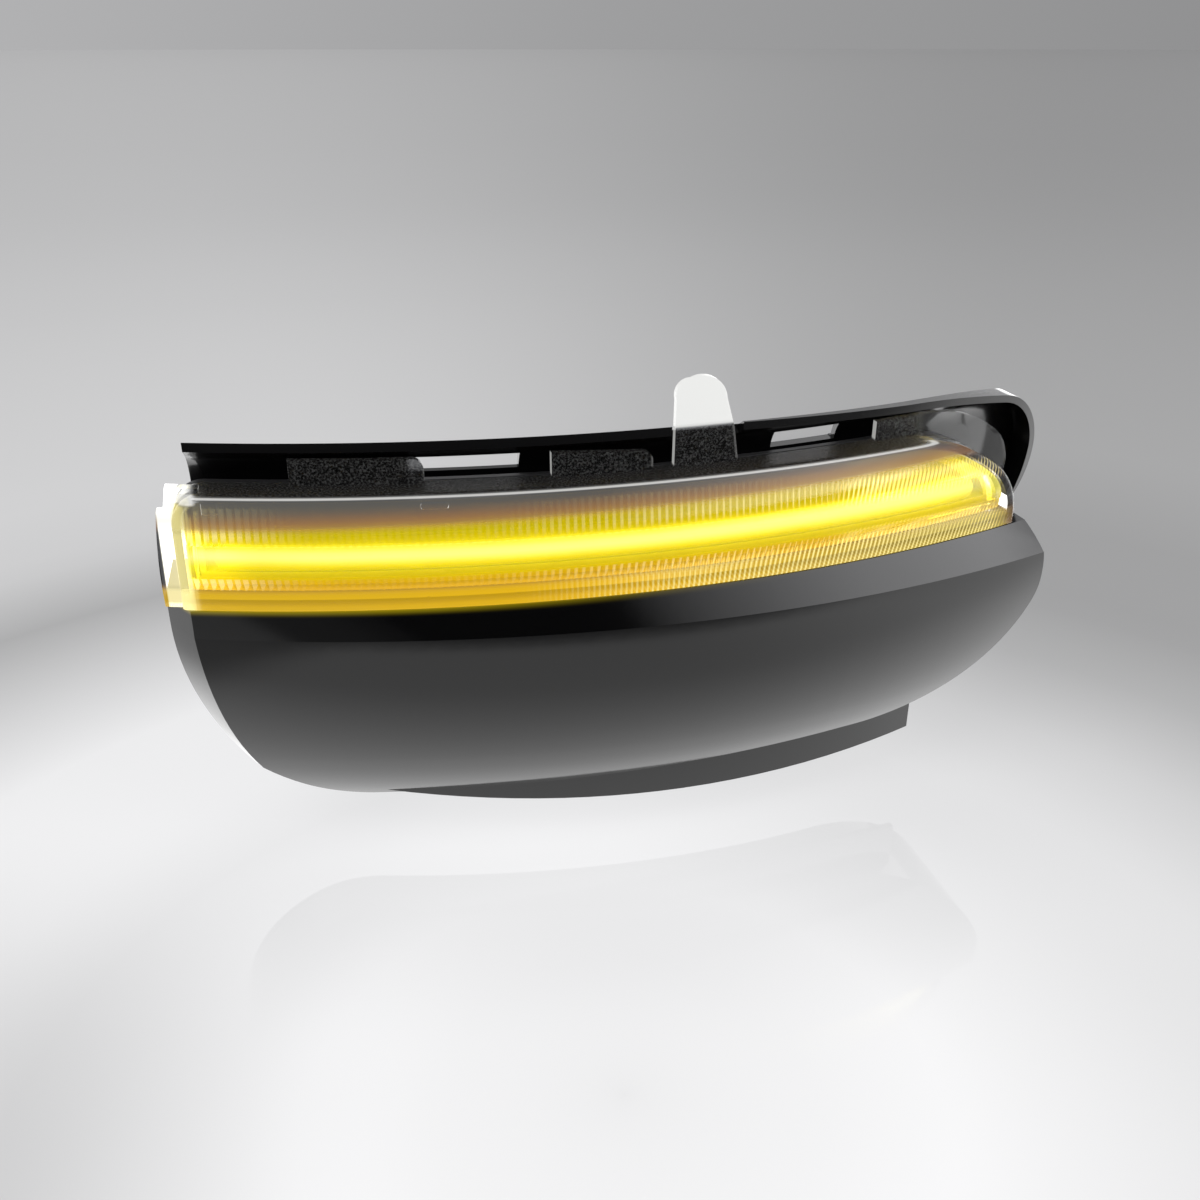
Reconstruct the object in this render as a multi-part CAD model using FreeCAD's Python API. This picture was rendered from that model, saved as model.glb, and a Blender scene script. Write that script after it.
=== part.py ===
import FreeCAD, Part
import math
import os

# Mirror turn signal lamp: a clear lens over a glowing light bar, its grained can and circuit,
# the black frame that carries it and the glossy lower cover of the mirror shell.
# Millimetres. X runs along the lamp, Y runs back into the mirror, Z is up.
# Every long part follows one plan arc; "w" is the distance in front of that arc.

V = FreeCAD.Vector

# Plan arc of the lens foot, and the arc of the lower cover's crease beside it
FOOT_R = 345.0
AXIS = (0.0, 352.0)
COVER_AXIS = (12.0, 348.0)
HALF_SPAN = 24.5

# Lens
LENS_L, LENS_R = -106.0, 115.5
LENS_H = 27.2
LENS_WALL = 2.1
LENS_BACK = -13.6
LENS_TOP_W = -4.8
LENS_BULGE = 1.1
LENS_CORNER = 8.0
LENS_SWEEP_X = LENS_R - 38.5
LENS_SWEEP_Z = 3.0
LENS_SWEEP_R = 17.0
RIM_R = 1.8
TAB_T = 1.9
TALL_TAB = (13.0, 30.2)
TAB_TOP = 33.2
TABS = ((-78.5, -47.5, TAB_TOP), (-17.5, 7.6, TAB_TOP - 1.2))
TAB_ROUND = 2.6
FLANGE_L = LENS_L - 4.4
FLANGE_H = 28.1
FLANGE_T = 2.8
FLANGE_IN = 1.6
POCKET = (LENS_L + 7.3, LENS_L + 10.9, 22.8, 25.4)
SLOT = (-46.3, 24.3, 6.4, 1.5)

# Can, seal and clearances
GAP = 0.3
SEAL_T = 0.6
CAN_LIP_T = 1.8
CAN_INSET = 2.4
CAN_WALL = 2.0
CAN_BACK = -28.0

# Light guide parts
OPTIC_W = -5.0
OPTIC_T = 1.8
FLUTE_D = 0.75
PITCH_IN, PITCH_OUT = 1.9, 1.25
BAR_Z = 9.8
BAR_H = 6.4
BAR_FRONT, BAR_BACK = -8.4, -14.6
TRAY_FRONT, TRAY_BACK = -10.4, -15.2
TRAY_T = 1.3

# Circuit
LED_SIZE = (3.0, 1.6, 1.8)
BOARD_TOP = BAR_Z - LED_SIZE[2] / 2
BOARD_T = 1.6
BOARD_FRONT, BOARD_REAR = -17.4, -25.0
LED_COUNT = 20
LED_FIRST, LED_LAST = LENS_L + 15.0, LENS_R - 18.5
LED_STEP = (LED_LAST - LED_FIRST) / (LED_COUNT - 1)
LED_W = BOARD_FRONT + 0.2 - LED_SIZE[1]
BOARD_SCREW_W = -20.9


def along(*gaps):
    """Places counted in LED gaps from the first LED, so that they keep clear of each other."""
    return [LED_FIRST + LED_STEP * gap for gap in gaps]


CAPACITOR_XS = along(5.36, 13.64, 18.1)
CHIP_XS = along(8.03, 14.65)
BOARD_SCREW_XS = along(4.5, 9.5, 17.5)

# Frame
FRAME_WALL_W = -19.5
FRAME_T = 2.0
FRAME_LIP_W = -11.5
FRAME_LEFT = LENS_L + 4.2
FRAME_ARC_Z = 24.8
FRAME_ARC_R = 10.0
FRAME_SIDE = LENS_R + 14.9
FRAME_TOP_X = TALL_TAB[1] + 0.8
FRAME_FOOT_Z = LENS_H - CAN_INSET + GAP
FRAME_FOOT_T = 2.0
WINDOWS = ((-50.5, -24.2, 27.7, 32.1), (42.0, 61.0, 26.9, 31.6))
WINDOW_POST = 4.0

# Lower cover
COVER_WALL = 2.2
COVER_L, COVER_R = LENS_L - 4.6, LENS_R + 7.7
CREASE_Z = -7.6
COVER_FOOT = (-13.0, -57.0)
COVER_FLOOR = ((COVER_L + 44.6, -61.9), (0.0, -58.4), (COVER_R - 57.2, -54.3))
COVER_TIGHT = (33.0, 16.5)
COVER_BULGE = 4.5
COVER_DEPTH = -30.0
DECK_TOP = -GAP
DECK_T = 2.2
LIP_IN, LIP_T = -15.2, 2.0

# Anti-rattle strips
FOAM = (along(3.44, 6.36), along(13.45, 15.05))

# Screws: head radius, head height, shank radius, shank length
CASE_SCREW = (2.9, 1.8, 1.3, 8.4)
BOARD_SCREW = (1.9, 1.3, 0.9, 6.5)
FRAME_SCREWS = along(1.62, 9.7, 17.08)
FRAME_SCREW_W = -25.2
COVER_SCREWS = along(2.12, 8.79, 16.07)
COVER_SCREW_W = -22.0

# Socket, vent and mounting bosses on the back of the can
SOCKET_X = along(11.62)[0]
SOCKET_Z = BOARD_TOP + 0.4
PAD_Y = 39.5
SOCKET_EAR = 9.3
SOCKET_FLANGE = (0.3, 2.3)
SHROUD = (13.6, 9.4, 16.0)
SHROUD_T = 1.3
PIN_PITCH = 3.0
PIN = 0.64
PIN_REACH = 10.0
VENT_X, VENT_Z, VENT_PAD_Y = along(6.77)[0], 14.0, 38.0
BOSSES = (LENS_L + 44.0, LENS_R - 49.5)
BOSS_Z = 13.0
BOSS_R, BOSS_HOLE_R, BOSS_DEPTH, BOSS_LEN = 4.6, 1.7, 9.0, 11.0


def plan(angle, w, z):
    """Point on the plan arc, w in front of it."""
    r = FOOT_R + w
    return V(AXIS[0] + r * math.sin(angle), AXIS[1] - r * math.cos(angle), z)


def angle_at(x, w):
    return math.asin((x - AXIS[0]) / (FOOT_R + w))


def y_at(x, w):
    return plan(angle_at(x, w), w, 0.0).y


def path(place, start, steps):
    """Closed flat face from lines (2 numbers) and arcs (mid point and end point)."""
    edges, here = [], start
    for step in steps:
        there = step[-2:]
        if len(step) == 4:
            edges.append(Part.Arc(place(here), place(step[:2]), place(there)).toShape())
        else:
            edges.append(Part.LineSegment(place(here), place(there)).toShape())
        here = there
    if math.dist(here, start) > 1e-6:
        edges.append(Part.LineSegment(place(here), place(start)).toShape())
    return Part.Face(Part.Wire(edges))


def swing(start, steps, axis=AXIS):
    """Section of (w, z) points turned about an upright axis."""
    face = path(lambda p: V(axis[0], axis[1] - FOOT_R - p[0], p[1]), start, steps)
    centre = V(axis[0], axis[1], 0)
    face.rotate(centre, V(0, 0, 1), -HALF_SPAN)
    return face.revolve(centre, V(0, 0, 1), 2 * HALF_SPAN)


def band(w0, w1, z0=-80.0, z1=60.0, axis=AXIS):
    return swing((w0, z0), [(w1, z0), (w1, z1), (w0, z1)], axis)


def outline(start, steps):
    return path(lambda p: V(p[0], -30.0, p[1]), start, steps)


def inset(face, d):
    return face.makeOffset2D(-d) if d else face


def prism(face):
    return face.extrude(V(0, 130.0, 0))


def block(x0, x1, z0, z1):
    return prism(outline((x0, z0), [(x1, z0), (x1, z1), (x0, z1)]))


def ring(face, d0, d1):
    return prism(inset(face, d0)).cut(prism(inset(face, d1)))


def corner(flat, side, tight):
    """Two tangent arcs from a level run (flat) to an upright one (side).

    The tighter arc stands on the shorter leg of the corner.
    """
    sx = math.copysign(1.0, side[0] - flat[0])
    sz = math.copysign(1.0, flat[1] - side[1])
    a, b = abs(side[0] - flat[0]), abs(flat[1] - side[1])
    long, short = max(a, b), min(a, b)
    wide = ((long - tight) ** 2 + short ** 2 - tight ** 2) / (2 * (short - tight))
    level, upright = (wide, tight) if a >= b else (tight, wide)
    turn = math.atan2(a - upright, level - b) if a >= b else math.atan2(upright - a, b - level)

    def on(cx, cz, r, t):
        return (cx + sx * r * math.sin(t), cz + sz * r * math.cos(t))

    lc = (flat[0], flat[1] - sz * level)
    uc = (side[0] - sx * upright, side[1])
    return [flat, on(*lc, level, turn / 2), on(*lc, level, turn),
            on(*uc, upright, (turn + math.pi / 2) / 2), side]


def tube_y(x, z, r, y0, y1):
    return Part.makeCylinder(r, y1 - y0, V(x, y0, z), V(0, 1, 0))


def rect_y(cx, cz, w, h, y0, y1):
    return Part.makeBox(w, y1 - y0, h, V(cx - w / 2, y0, cz - h / 2))


def post(x, w, r, z0, z1):
    p = plan(angle_at(x, w), w, z0)
    return Part.makeCylinder(r, z1 - z0, p, V(0, 0, 1))


def rounded(shape, radius, keep):
    edges = [e for e in shape.Edges if keep(e)]
    return shape.makeFillet(radius, edges)


def turned(shape, x, w):
    """Shape drawn at the front of the arc (facing -Y, foot at the origin) put at x."""
    a = angle_at(x, w)
    shape = shape.copy()
    shape.rotate(V(0, 0, 0), V(0, 0, 1), math.degrees(a))
    shape.translate(plan(a, w, 0.0))
    return shape


def shifted(shape, to):
    shape = shape.copy()
    shape.translate(to)
    return shape


def lens_face():
    s = corner((LENS_SWEEP_X, LENS_H), (LENS_R, LENS_SWEEP_Z), LENS_SWEEP_R)
    k = LENS_CORNER
    bend = k * (1 - math.sqrt(0.5))
    return outline((LENS_L, 0.0), [
        (LENS_L, LENS_H - k),
        (LENS_L + bend, LENS_H - bend, LENS_L + k, LENS_H),
        s[0], s[1] + s[2], s[3] + s[4], (LENS_R, 0.0)])


def front_of(e):
    """How far in front of the plan arc the middle of an edge lies."""
    m = e.valueAt((e.FirstParameter + e.LastParameter) / 2)
    return math.hypot(m.x - AXIS[0], m.y - AXIS[1]) - FOOT_R, m


def lens_profile(t):
    """Front skin of the lens, moved back by t."""
    z1 = LENS_H + 3.0
    lean = LENS_TOP_W * z1 / LENS_H
    return swing((-t, -1.0 + t), [
        (lean / 2 + LENS_BULGE - t, z1 / 2, lean - t, z1),
        (-40.0, z1), (-40.0, -1.0 + t)])


def end_flange():
    """Web beyond the inner end of the lens, as far in from the lens's skin all the way up."""
    lean = LENS_TOP_W * FLANGE_H / LENS_H
    half, mid = FLANGE_H / 2, lean / 2 + LENS_BULGE
    front, rear = -FLANGE_IN, -FLANGE_IN - FLANGE_T
    web = swing((front, 0.0), [
        (mid + front, half, lean + front, FLANGE_H), (lean + rear, FLANGE_H),
        (mid + rear, half, rear, 0.0)])
    step = FLANGE_H - 5.4
    face = outline((FLANGE_L + 0.3, 0.0), [
        (FLANGE_L + 0.3, step / 2, FLANGE_L + 1.2, step), (FLANGE_L + 2.8, step + 0.2),
        (FLANGE_L + 3.8, FLANGE_H), (LENS_L + 7.0, FLANGE_H), (LENS_L + 7.0, 10.0),
        (LENS_L + 1.5, 8.0), (LENS_L + 1.5, 0.0)])
    return prism(face).common(web)


def rear_flange():
    """Upstand that runs along the top of the shelf at the outer end and round it."""
    top = TAB_TOP - 0.8
    s = corner((LENS_R - 29.5, top), (LENS_R + 3.7, 12.0), 14.0)
    face = outline((LENS_R - 45.5, LENS_H - 2.0), [
        (LENS_R - 45.5, top), s[0], s[1] + s[2], s[3] + s[4], (LENS_R + 2.1, 1.0),
        (LENS_R - 3.5, 1.0), (LENS_R - 19.5, LENS_H - 4.0)])
    return prism(face).common(band(LENS_BACK, LENS_BACK + TAB_T))


def lens_tabs():
    base = LENS_H - 1.5
    tabs, r = [], TAB_ROUND
    for x0, x1, end in TABS:
        tabs.append(prism(outline((x0, base), [
            (x0, TAB_TOP), (x1 - r, end), (x1 - 0.3 * r, end - 0.3 * r, x1, end - r), (x1, base)])))
    x0, x1 = TALL_TAB
    tall = outline((x0, base), [
        (x0 + 0.2, 44.0), (x0 + 0.9, 47.4, x0 + 4.0, 48.8), (x0 + 10.6, 48.2, x0 + 13.4, 43.4),
        (x0 + 15.6, 36.0), (x1, base)])
    tabs.append(prism(tall))
    return [t.common(band(LENS_BACK, LENS_BACK + TAB_T)) for t in tabs]


def lens_marks():
    """Shallow corner pocket and gate slot in the band above the light."""
    x0, x1, z0, z1 = POCKET
    skin = lens_profile(0.7)
    pocket = block(x0, x1, z0, z1).cut(skin)
    x, z, long, high = SLOT
    r = high / 2
    slot = prism(outline((x - long / 2 + r, z - r), [
        (x - long / 2, z, x - long / 2 + r, z + r), (x + long / 2 - r, z + r),
        (x + long / 2, z, x + long / 2 - r, z - r)])).cut(skin)
    near = band(-12.0, 5.0)
    return [pocket.common(near), slot.common(near)]


def outer_lens():
    face = lens_face()
    body = lens_profile(0.0).common(prism(face)).common(band(LENS_BACK, 5.0))

    def on_front(e):
        w, m = front_of(e)
        return w > LENS_TOP_W - 1.0 and m.z > 0.5

    body = rounded(body, RIM_R, on_front)
    hollow = lens_profile(LENS_WALL).common(prism(inset(face, LENS_WALL)))
    body = body.fuse([end_flange(), rear_flange()] + lens_tabs())
    return body.cut(Part.makeCompound([hollow] + lens_marks()))


def lens_seal():
    return ring(lens_face(), 0.2, LENS_WALL - 0.1).common(
        band(LENS_BACK - SEAL_T + 0.02, LENS_BACK - 0.02))


def flute_angles():
    """Crest and valley angles; the pitch closes up towards the outer end."""
    x, angles = LENS_L + 3.0, []
    while x < LENS_R - 1.0:
        share = min(max((x - 10.0) / 95.0, 0.0), 1.0)
        pitch = PITCH_IN + (PITCH_OUT - PITCH_IN) * share
        angles.append((angle_at(x, OPTIC_W), angle_at(x + pitch / 2, OPTIC_W)))
        x += pitch
    return angles


def comb(z0, z1, w0, w1):
    """Upright flutes whose front leans from w0 at z0 to w1 at z1; flat sided."""
    teeth = flute_angles()
    low = []
    for crest, valley in teeth:
        low += [plan(crest, w0, z0), plan(valley, w0 - FLUTE_D, z0)]
    first, last = teeth[0][0], teeth[-1][1]
    for k in range(9):
        low.append(plan(last + (first - last) * k / 8, w0 - OPTIC_T, z0))
    k = (FOOT_R + w1) / (FOOT_R + w0)
    high = [V(AXIS[0] + (p.x - AXIS[0]) * k, AXIS[1] + (p.y - AXIS[1]) * k, z1) for p in low]
    sides = [(low[i - 1], low[i], high[i], high[i - 1]) for i in range(len(low))]
    faces = [Part.Face(Part.makePolygon(list(c) + [c[0]])) for c in [low, high] + sides]
    shell = Part.makeShell(faces)
    shell.sewShape()
    return Part.makeSolid(shell)


def inner_optic():
    face = inset(lens_face(), LENS_WALL + 0.5)
    z0, z1 = LENS_WALL + 0.4, LENS_H - LENS_WALL - 1.4
    low, high = BAR_Z - 3.8, BAR_Z + 4.4
    plate = comb(z0, low, OPTIC_W - 0.32 * (low - z0), OPTIC_W)
    top = comb(high, z1, OPTIC_W, OPTIC_W - 0.14 * (z1 - high))
    middle = swing((OPTIC_W - OPTIC_T, low), [
        (OPTIC_W, low), (OPTIC_W + 0.8, (low + high) / 2, OPTIC_W, high),
        (OPTIC_W - OPTIC_T, high)])
    skirt = ring(face, 0.0, 1.3).common(band(LENS_BACK - SEAL_T + GAP, OPTIC_W - 1.4))
    body = plate.fuse([middle, top]).common(prism(face))
    return body.fuse(skirt)


def light_bar():
    z0, z1, r = BAR_Z - BAR_H / 2, BAR_Z + BAR_H / 2, BAR_H / 2
    x0, x1 = LENS_L + 8.6, LENS_R - 12.5
    face = outline((x0 + r, z0), [
        (x0, BAR_Z, x0 + r, z1), (x1 - r, z1), (x1, BAR_Z, x1 - r, z0)])
    rod = swing((BAR_BACK, z0), [
        (BAR_BACK, z1), (BAR_FRONT - 1.6, z1), (BAR_FRONT, BAR_Z, BAR_FRONT - 1.6, z0)])
    return rod.common(prism(face))


def led_xs():
    return [LED_FIRST + LED_STEP * i for i in range(LED_COUNT)]


def reflector_tray():
    face = inset(lens_face(), CAN_INSET + CAN_WALL + GAP)
    z0, z1 = 4.9, LENS_H - 4.9
    b0, b1 = BAR_Z - BAR_H / 2 - 0.5, BAR_Z + BAR_H / 2 + 0.5
    t = TRAY_T
    shell = swing((TRAY_FRONT, z0 - 0.2), [
        (TRAY_BACK - t, b0 - t * 0.8), (TRAY_BACK - t, b1 + t * 0.8), (TRAY_FRONT, z1 + 0.2)])
    wall = ring(face, 0.0, t).common(band(TRAY_BACK - t, TRAY_FRONT))
    hollow = swing((TRAY_FRONT + 2.0, z0 + t - 0.9), [
        (TRAY_FRONT, z0 + t), (TRAY_BACK, b0), (TRAY_BACK, b1), (TRAY_FRONT, z1 - t),
        (TRAY_FRONT + 2.0, z1 - t + 0.9)])
    body = shell.common(prism(inset(face, t / 2))).fuse(wall)
    body = body.cut(hollow.common(prism(inset(face, t))))
    slots = []
    w, d, h = LED_SIZE
    for x in led_xs():
        slot = Part.makeBox(w + 0.8, 4.0, h + 0.8, V(-w / 2 - 0.4, -2.0, BAR_Z - h / 2 - 0.4))
        slots.append(turned(slot, x, TRAY_BACK - t / 2))
    body = body.cut(Part.makeCompound(slots))
    z_post = BOARD_TOP + 0.3
    posts, holes = [], []
    for x in BOARD_SCREW_XS:
        posts.append(post(x, BOARD_SCREW_W, 2.3, z_post, z_post + 6.4))
        web = Part.makeBox(1.8, abs(BOARD_SCREW_W - TRAY_BACK) - t / 2, 4.6,
                           V(-0.9, t / 2, b1 - 2.6))
        posts.append(turned(web, x, TRAY_BACK))
        holes.append(post(x, BOARD_SCREW_W, BOARD_SCREW[2] + GAP, z_post - 0.1, z_post + 5.6))
    return body.fuse(posts).cut(Part.makeCompound(holes))


def led_board():
    x0, x1 = LENS_L + 9.0, LENS_R - 12.0
    z0 = BOARD_TOP - BOARD_T
    body = band(BOARD_REAR, BOARD_FRONT, z0, BOARD_TOP).common(block(x0, x1, z0 - 1, z0 + 3))
    holes = [post(x, BOARD_SCREW_W, BOARD_SCREW[2] + GAP, z0 - 1, z0 + 3)
             for x in BOARD_SCREW_XS]
    return body.cut(Part.makeCompound(holes))


def leds():
    w, d, h = LED_SIZE
    z = BOARD_TOP + 0.02
    body = Part.makeBox(w, d, h, V(-w / 2, 0, z))
    body = body.cut(Part.makeBox(w - 0.7, 0.3, h - 0.6, V(-w / 2 + 0.35, 0, z + 0.3)))
    return [turned(body, x, LED_W + d) for x in led_xs()]


def chips(size, spots):
    """Plain surface-mount blocks with metal ends, standing on the board."""
    l, d, h = size
    body = Part.makeBox(l, d, h, V(-l / 2, 0, BOARD_TOP + 0.02))
    waist = [Part.makeBox(l * 0.56, 0.08, h + 1, V(-l * 0.28, y, BOARD_TOP)) for y in
             (0, d - 0.08)]
    body = body.cut(Part.makeCompound(waist))
    return [turned(body, x, w) for x, w in spots]


def resistors():
    return chips((2.0, 1.25, 0.55), [(LED_FIRST + LED_STEP * (2 * i + 0.5), -20.2)
                                     for i in (0, 1, 3, 4, 5, 6, 8, 9)])


def capacitors():
    return chips((3.2, 2.5, 1.9), [(x, -21.4) for x in CAPACITOR_XS])


def driver_chips():
    """Small-outline driver packages with gull leads."""
    l, d, h = 4.9, 3.0, 1.45
    z = BOARD_TOP
    body = Part.makeBox(l, d, h, V(-l / 2, 0, z + 0.15))
    leads = []
    for i in range(4):
        x = (i - 1.5) * 1.27 - 0.2
        for y0, y1, foot in ((-0.8, 0.0, -0.8), (d, d + 0.8, d + 0.4)):
            leads.append(Part.makeBox(0.4, y1 - y0, 0.2, V(x, y0, z + 0.6)))
            leads.append(Part.makeBox(0.4, 0.4, 0.78, V(x, foot, z + 0.02)))
    one = body.fuse(leads)
    return [turned(one, x, -20.4) for x in CHIP_XS]


def screw(size, head_up):
    """Pan head screw, shank downwards from the origin, cross recess in the head."""
    hr, hh, sr, sl = size
    head = Part.makeCylinder(hr, hh * 0.6).fuse(
        Part.makeCone(hr, hr * 0.72, hh * 0.4, V(0, 0, hh * 0.6)))
    body = head.fuse(Part.makeCylinder(sr, sl, V(0, 0, -sl)))
    for a, b in ((hr * 1.2, 0.5), (0.5, hr * 1.2)):
        body = body.cut(Part.makeBox(a, b, hh, V(-a / 2, -b / 2, hh * 0.45)))
    if not head_up:
        body.rotate(V(0, 0, 0), V(1, 0, 0), 180)
    return body


def case_screws():
    down = screw(CASE_SCREW, True)
    up = screw(CASE_SCREW, False)
    z_top = FRAME_FOOT_Z + FRAME_FOOT_T + 0.03
    z_low = DECK_TOP - DECK_T - 0.03
    return ([shifted(down, plan(angle_at(x, FRAME_SCREW_W), FRAME_SCREW_W, z_top))
             for x in FRAME_SCREWS]
            + [shifted(up, plan(angle_at(x, COVER_SCREW_W), COVER_SCREW_W, z_low))
               for x in COVER_SCREWS])


def board_screws():
    up = screw(BOARD_SCREW, False)
    z = BOARD_TOP - BOARD_T - 0.03
    spots = [shifted(up, plan(angle_at(x, BOARD_SCREW_W), BOARD_SCREW_W, z))
             for x in BOARD_SCREW_XS]
    for dx in (-1, 1):
        s = screw(BOARD_SCREW, True)
        s.rotate(V(0, 0, 0), V(1, 0, 0), -90)
        spots.append(shifted(s, V(SOCKET_X + dx * SOCKET_EAR, PAD_Y + SOCKET_FLANGE[1] + 0.03,
                                  SOCKET_Z)))
    return spots


def lamp_housing():
    face = lens_face()
    lip = ring(face, 0.0, CAN_INSET + CAN_WALL).common(
        band(LENS_BACK - SEAL_T - CAN_LIP_T, LENS_BACK - SEAL_T))
    outer = prism(inset(face, CAN_INSET)).common(band(CAN_BACK, LENS_BACK - SEAL_T - 0.4))
    cavity = prism(inset(face, CAN_INSET + CAN_WALL)).common(band(CAN_BACK + CAN_WALL, 0.0))
    adds = []
    deep = CAN_BACK + CAN_WALL / 2
    adds.append(Part.makeBox(24, PAD_Y - 33.0, 17.0, V(SOCKET_X - 12, 33.0, SOCKET_Z - 8.5)))
    adds.append(tube_y(VENT_X, VENT_Z, 7.0, y_at(VENT_X, deep), VENT_PAD_Y))
    for x in BOSSES:
        y = y_at(x, CAN_BACK)
        adds.append(tube_y(x, BOSS_Z, BOSS_R, y - 1.0, y + BOSS_LEN))
        for dz in (-1, 1):
            z0 = BOSS_Z + (dz * 7.5 if dz < 0 else 0)
            adds.append(Part.makeBox(1.6, BOSS_LEN - 2, 7.5, V(x - 0.8, y - 1.0, z0)))
    for x in COVER_SCREWS:
        adds.append(post(x, COVER_SCREW_W, 3.3, DECK_TOP + GAP, 6.0))
    body = lip.fuse([outer] + adds).cut(cavity)
    inner = []
    for x in COVER_SCREWS:
        inner.append(post(x, COVER_SCREW_W, 3.3, 2.6, BOARD_TOP - BOARD_T - GAP))
    for x in FRAME_SCREWS:
        inner.append(post(x, FRAME_SCREW_W, 3.2, FRAME_FOOT_Z - 8.7, FRAME_FOOT_Z - 0.5).common(
            band(CAN_BACK + 1.0, 0.0)))
    body = body.fuse(inner)
    holes = []
    r = CASE_SCREW[2] + GAP
    for x in COVER_SCREWS:
        holes.append(post(x, COVER_SCREW_W, r, -1.0, 6.2))
    for x in FRAME_SCREWS:
        holes.append(post(x, FRAME_SCREW_W, r, FRAME_FOOT_Z - 7.5, FRAME_FOOT_Z + 5.0))
    for x in BOSSES:
        y = y_at(x, CAN_BACK) + BOSS_LEN
        holes.append(tube_y(x, BOSS_Z, BOSS_HOLE_R, y - BOSS_DEPTH, y + 1))
    holes.append(tube_y(VENT_X, VENT_Z, 2.7, 30.0, 45.0))
    holes.append(Part.makeBox(10.0, 14.0, 2.4, V(SOCKET_X - 5.0, 28.0, SOCKET_Z - 1.2)))
    for dx in (-1, 1):
        holes.append(tube_y(SOCKET_X + dx * SOCKET_EAR, SOCKET_Z, BOARD_SCREW[2] + GAP,
                            PAD_Y - BOARD_SCREW[3] + SOCKET_FLANGE[1] - 0.4, PAD_Y + 1))
    return body.cut(Part.makeCompound(holes))


def connector_socket():
    w, h, deep = SHROUD
    x, z, y = SOCKET_X, SOCKET_Z, PAD_Y
    body = rect_y(x, z, 23.4, 16.0, y + SOCKET_FLANGE[0], y + SOCKET_FLANGE[1])
    body = body.fuse(rect_y(x, z, w, h, y + 1.0, y + deep))
    body = body.fuse(Part.makeBox(4.0, 3.0, 1.4, V(x - 2.0, y + deep - 5.0, z + h / 2 - 0.1)))
    body = body.cut(rect_y(x, z, w - 2 * SHROUD_T, h - 2 * SHROUD_T, y + 4.2, y + deep + 1))
    groove = rect_y(x, z, 14.2, 10.2, y, y + 1.3).cut(rect_y(x, z, 11.4, 7.4, y - 1, y + 2))
    holes = [groove]
    for i in (-1, 0, 1):
        holes.append(rect_y(x + i * PIN_PITCH, z, PIN + 0.1, PIN + 0.1, y - 1, y + 6))
    for dx in (-1, 1):
        holes.append(tube_y(x + dx * SOCKET_EAR, z, BOARD_SCREW[2] + GAP, y - 1, y + 4))
    return body.cut(Part.makeCompound(holes))


def socket_seal():
    x, z, y = SOCKET_X, SOCKET_Z, PAD_Y
    return rect_y(x, z, 13.8, 9.8, y + 0.05, y + 1.2).cut(rect_y(x, z, 11.8, 7.8, y - 1, y + 2))


def contact_pins():
    y0 = y_at(SOCKET_X, BOARD_REAR) - 2.4
    return [rect_y(SOCKET_X + i * PIN_PITCH, SOCKET_Z, PIN, PIN, y0, PAD_Y + PIN_REACH)
            for i in (-1, 0, 1)]


def vent_plug():
    y = VENT_PAD_Y
    body = tube_y(VENT_X, VENT_Z, 5.6, y + 0.05, y + 1.9).fuse(
        tube_y(VENT_X, VENT_Z, 2.4, y - 3.0, y + 1.0))
    slots = [rect_y(VENT_X, VENT_Z + dz, 7.0, 0.8, y + 1.1, y + 3) for dz in (-2.4, -0.8, 0.8, 2.4)]
    return body.cut(Part.makeCompound(slots))


def frame_end(d):
    """Rounded outer end of the frame, drawn in by d."""
    s = corner((FRAME_SIDE - 50.4, 35.6 - d), (FRAME_SIDE - d, 16.0), 17.0 - d)
    low = 7.0 * d / FRAME_T
    return [(FRAME_TOP_X, 37.0 - d), s[0], s[1] + s[2], s[3] + s[4],
            (FRAME_SIDE - 1.5 - d, 8.6, FRAME_SIDE - 5.6 - d - 0.8 * low, 2.0 - low)]


def frame_face():
    """Front outline of the frame."""
    return outline((FRAME_LEFT, 2.0), [
        (FRAME_LEFT, 46.0), (FRAME_TOP_X, 46.0)] + frame_end(0.0))


def frame_skin(t):
    """Region behind the swept front of the frame wall, moved back by t."""
    r, k = FRAME_ARC_R + t, math.radians(60)
    cw = FRAME_WALL_W + FRAME_ARC_R
    w1, z1 = cw - r * math.cos(k), FRAME_ARC_Z + r * math.sin(k)
    z2 = z1 + (FRAME_LIP_W + 1.0 - w1) * math.tan(math.radians(30))
    return swing((FRAME_WALL_W - t, -5.0), [
        (FRAME_WALL_W - t, FRAME_ARC_Z),
        (cw - r * math.cos(k / 2), FRAME_ARC_Z + r * math.sin(k / 2), w1, z1),
        (FRAME_LIP_W + 1.0, z2), (FRAME_LIP_W + 1.0, -5.0)])


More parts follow.
